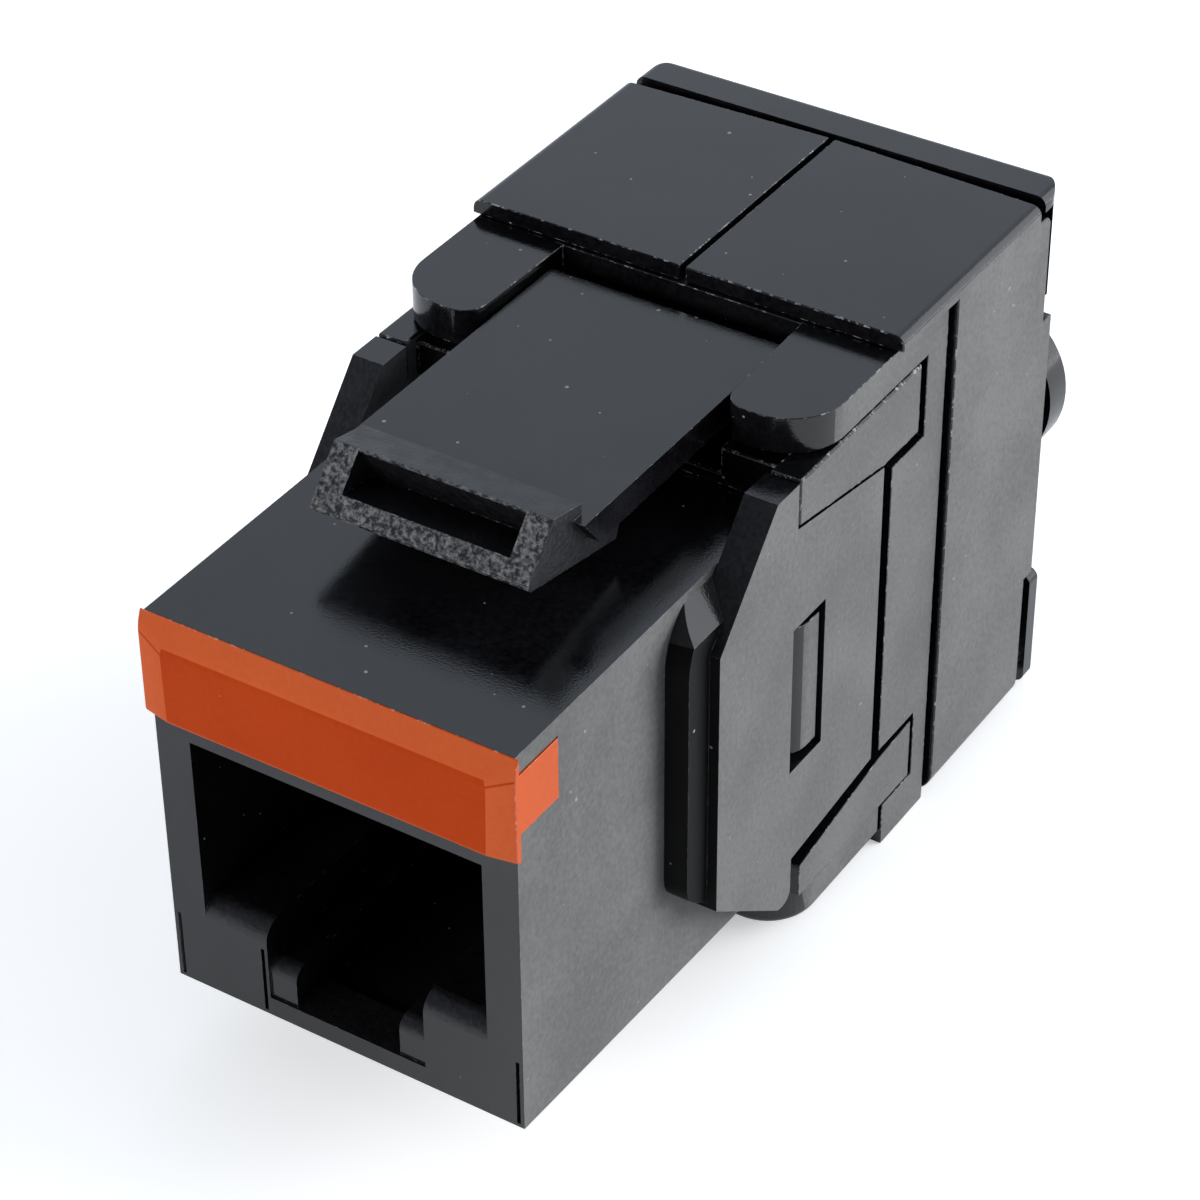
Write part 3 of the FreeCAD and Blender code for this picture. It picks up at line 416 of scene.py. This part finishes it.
def latch_soft(middle, along):
    """The latch head's rounded lip below the scoop, the scoop's sill and the brow above it."""
    if abs(along.x) < 0.9:
        return None
    if middle.y < head_low.y + LIP_LENGTH and middle.z < head_high.z - LIP_DROP:
        return LIP_ROUND
    if (middle.y < head_low.y + SILL_LENGTH
            and abs(middle.z - head_high.z + SILL_DROP) < SILL_BAND):
        return SILL_ROUND
    if middle.y < head_low.y + BROW_LENGTH and middle.z > head_high.z - BROW_DROP:
        return BROW_ROUND
    return None


def strip_soft(middle, along):
    """The softly moulded border of the icon strip's face."""
    return STRIP_ROUND if middle.y < strip_front + STRIP_FACE_BAND else None


def on_head(centre):
    """True on the latch head, in front of the plate."""
    return centre.y < head_low.y + HEAD_LENGTH


def on_head_front(centre, normal):
    """True on the latch head's slanted front and its lip, but not inside the scoop."""
    down = head_high.z - centre.z
    back = centre.y - head_low.y - HEAD_SLANT_START
    behind = down * SLANT_DOWN + back * SLANT_BACK
    return (centre.y < head_low.y + HEAD_FRONT_LENGTH and normal.y < -0.2
            and abs(behind) < HEAD_SLANT_BAND)


def on_head_slant(centre, normal):
    """True on the head's other forward faces, above and below its front."""
    return on_head(centre) and normal.y < -0.25 and normal.z > -0.75


def on_head_top(centre, normal):
    """True on the narrow band between the latch plate and the head's front."""
    return on_head(centre) and normal.z > 0.9 and centre.z > head_high.z - HEAD_TOP_BAND


def on_head_side(centre, normal):
    """True on the ends of the latch head."""
    return on_head(centre) and abs(normal.x) > 0.9


def on_flange(centre):
    """True on the front and the narrow sides of the flange in front of the wings."""
    return (nose_half + SIDE_MARGIN < abs(centre.x) < nose_half + FLANGE_OUT
            and centre.y < nose_corner.y + FLANGE_BACK)


def on_outer_side(centre, normal):
    """True on the upright outer sides, apart from the flange."""
    return (abs(normal.x) > 0.95 and abs(centre.x) > nose_half - SIDE_MARGIN
            and not on_flange(centre))


def on_flange_painted_shade(centre, normal):
    """True on the flange's faces that don't look up, which are given painted shade."""
    return on_flange(centre) and normal.z < 0.3


def on_wing_front(centre, normal):
    """True on the wings' faces that look to the front."""
    return normal.y < -0.9 and abs(centre.x) > nose_half + WING_MARGIN


def on_horn_slant(centre, normal):
    """True on the slanted fronts of the horns."""
    return normal.y < -0.3 and 0.3 < normal.z < 0.95 and abs(centre.x) > nose_half


def on_port_lip(centre, normal):
    """True on the rounded lips of the port's ledges."""
    return (centre.y < nose_corner.y + PORT_LIP_LENGTH and normal.z > 0.15
            and abs(centre.x) < PORT_HALF and centre.z < nose_corner.z + PORT_LIP_HEIGHT)


def on_strip_bevel(centre, normal):
    """True on all of the icon strip but its flat face."""
    return normal.y > STRIP_FACE_NORMAL


# ------------------------------------------------------------------ pieces

BLACK = ("front_housing", "keystone_frame", "latch_arm", "lower_clip", "rear_housing",
         "cover_left", "cover_right", "rear_cap")
NO_SIDE_GRAIN_PAINTED_LIGHT = ("latch_arm", "rear_cap")
INSULATORS = ("contact_carrier", "wire_block_left", "wire_block_right")
BLACK_EDGE = 0.09
STRIP_EDGE = 0.05

looks = {node: dressed(node, satin, BLACK_EDGE, worn,
                       latch_soft if node == "latch_arm" else None)
         for node in BLACK}
looks["icon_strip"] = dressed("icon_strip", orange, STRIP_EDGE, worn_orange_painted_highlight,
                              strip_soft)

# The outer sides get the fine grain, and with it a lighter colour that is painted light.
for node in BLACK:
    if node not in NO_SIDE_GRAIN_PAINTED_LIGHT:
        regrain(looks[node], side_grain_painted_light, on_outer_side)
# Painted shade on the flange's faces that don't look up and on the wings' fronts.
regrain(looks["front_housing"], painted_shade_black, on_flange_painted_shade)
regrain(looks["front_housing"], painted_shade_black, on_wing_front)
# Painted light: the head's front and lip get a far lighter grain than the rest.
regrain(looks["latch_arm"], spark_painted_light, on_head_front)
regrain(looks["latch_arm"], spark, on_head_slant)
regrain(looks["latch_arm"], spark, on_head_top)
regrain(looks["latch_arm"], spark, on_head_side)
# Painted highlight: the strip's bevels, sides and clips get a paler orange than its face.
regrain(looks["icon_strip"], orange_painted_highlight, on_strip_bevel)
regrain(looks["front_housing"], spark, on_horn_slant)
regrain(looks["front_housing"], spark, on_port_lip)

for node in nodes:
    if node in INSULATORS:
        finish_with(node, insulator)
    elif node.startswith("contact_"):
        finish_with(node, gold)
    elif node.startswith("terminal_"):
        finish_with(node, tin)
    elif node.startswith("hinge_pin"):
        finish_with(node, steel)
finish_with("circuit_board", board)

# ------------------------------------------------------------------ floor, lamps and camera

FLOOR_HALF = 1.5
FLOOR_GAP = 0.00002
LAMP_TARGET = Vector((0, 0, 0.01))
# The surround is darkest in this direction, above and in front of the jack.
DARK_SIDE = Vector((0.08, -0.78, 0.62))
DARK_LEVEL, PALE_LEVEL = 0.10, 0.80
SURROUND_TINT = (0.90, 1.0, 1.13, 1.0)
CAMERA_PLACE = Vector((57.9035, -91.074, 91.6061)) * MM
CAMERA_AZIMUTH, CAMERA_ELEVATION, CAMERA_ROLL = (
    math.radians(angle) for angle in (32.842, 36.743, -0.494))


def floor_material():
    """Pale matt floor, which the camera sees as white where no shadow falls."""
    g = Graph("pale_floor")
    color = g.mix(g.noise(0.02, 2.0), (0.90, 0.90, 0.90), (0.93, 0.93, 0.93))
    rays = g.add("ShaderNodeLightPath").outputs
    mirrored = g.math("MAXIMUM", rays["Is Glossy Ray"], rays["Is Transmission Ray"])
    lift = g.math("ADD", g.math("MULTIPLY", rays["Is Camera Ray"], 0.42),
                  g.math("MULTIPLY", mirrored, 0.12))
    g.link(lift, g.shader.inputs["Emission Strength"])
    g.shader.inputs["Emission Color"].default_value = WHITE
    return g.surface(color, 0.9, Specular_IOR_Level=0.2)


def make_floor():
    """A large plain floor just below the jack."""
    mesh = bpy.data.meshes.new("floor")
    half = FLOOR_HALF
    corners = [(-half, -half, 0), (half, -half, 0), (half, half, 0), (-half, half, 0)]
    mesh.from_pydata(corners, [], [(0, 1, 2, 3)])
    floor = bpy.data.objects.new("floor", mesh)
    bpy.context.scene.collection.objects.link(floor)
    floor.location.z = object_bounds()[0][2] - FLOOR_GAP
    mesh.materials.append(floor_material())


def lamp(name, place, power, width, height, mirrored=True):
    """A soft box aimed at the jack, which glossy faces mirror or not."""
    light = bpy.data.lights.new(name, "AREA")
    light.shape = "RECTANGLE"
    light.energy = power
    light.size = width
    light.size_y = height
    box = bpy.data.objects.new(name, light)
    box.location = place
    aim = LAMP_TARGET - Vector(place)
    box.rotation_euler = aim.to_track_quat("-Z", "Y").to_euler()
    box.visible_glossy = mirrored
    bpy.context.scene.collection.objects.link(box)


def make_world():
    """A pale surround, darker behind the camera, that the camera itself sees as white."""
    world = bpy.data.worlds.new("studio")
    world.use_nodes = True
    bpy.context.scene.world = world
    tree = world.node_tree
    background = tree.nodes["Background"]
    direction = tree.nodes.new("ShaderNodeTexCoord")
    toward = tree.nodes.new("ShaderNodeVectorMath")
    toward.operation = "DOT_PRODUCT"
    toward.inputs[1].default_value = DARK_SIDE.normalized()
    tree.links.new(direction.outputs["Generated"], toward.inputs[0])
    level = tree.nodes.new("ShaderNodeMapRange")
    limits = {"From Min": 0.20, "From Max": 0.80, "To Min": PALE_LEVEL, "To Max": DARK_LEVEL}
    for name, number in limits.items():
        level.inputs[name].default_value = number
    tree.links.new(toward.outputs["Value"], level.inputs["Value"])
    rays = tree.nodes.new("ShaderNodeLightPath")
    strength = tree.nodes.new("ShaderNodeMath")
    strength.operation = "MAXIMUM"
    tree.links.new(level.outputs["Result"], strength.inputs[0])
    tree.links.new(rays.outputs["Is Camera Ray"], strength.inputs[1])
    tree.links.new(strength.outputs[0], background.inputs["Strength"])
    tint = tree.nodes.new("ShaderNodeMix")
    tint.data_type = "RGBA"
    tint.inputs[6].default_value = SURROUND_TINT
    tint.inputs[7].default_value = WHITE
    tree.links.new(rays.outputs["Is Camera Ray"], tint.inputs["Factor"])
    tree.links.new(tint.outputs[2], background.inputs["Color"])


def make_camera():
    """The view from the right, in front and above."""
    camera = bpy.data.cameras.new("camera")
    camera.sensor_width = 36.0
    camera.lens = 111.756
    camera.clip_start = 0.001
    camera.clip_end = 10.0
    view = bpy.data.objects.new("camera", camera)
    turn = (Matrix.Rotation(CAMERA_AZIMUTH, 4, "Z")
            @ Matrix.Rotation(math.pi / 2 - CAMERA_ELEVATION, 4, "X")
            @ Matrix.Rotation(CAMERA_ROLL, 4, "Z"))
    view.matrix_world = Matrix.Translation(CAMERA_PLACE) @ turn
    bpy.context.scene.collection.objects.link(view)
    bpy.context.scene.camera = view


make_floor()
make_world()
lamp("side_box", (0.35, 0.29, 0.16), 0.95, 0.60, 0.40)
lamp("side_fill", (0.33, 0.29, 0.09), 2.3, 0.30, 0.14, mirrored=False)
lamp("front_box", (-0.18, -0.38, 0.11), 1.5, 0.34, 0.16, mirrored=False)
make_camera()
bpy.context.scene.view_settings.view_transform = "Standard"
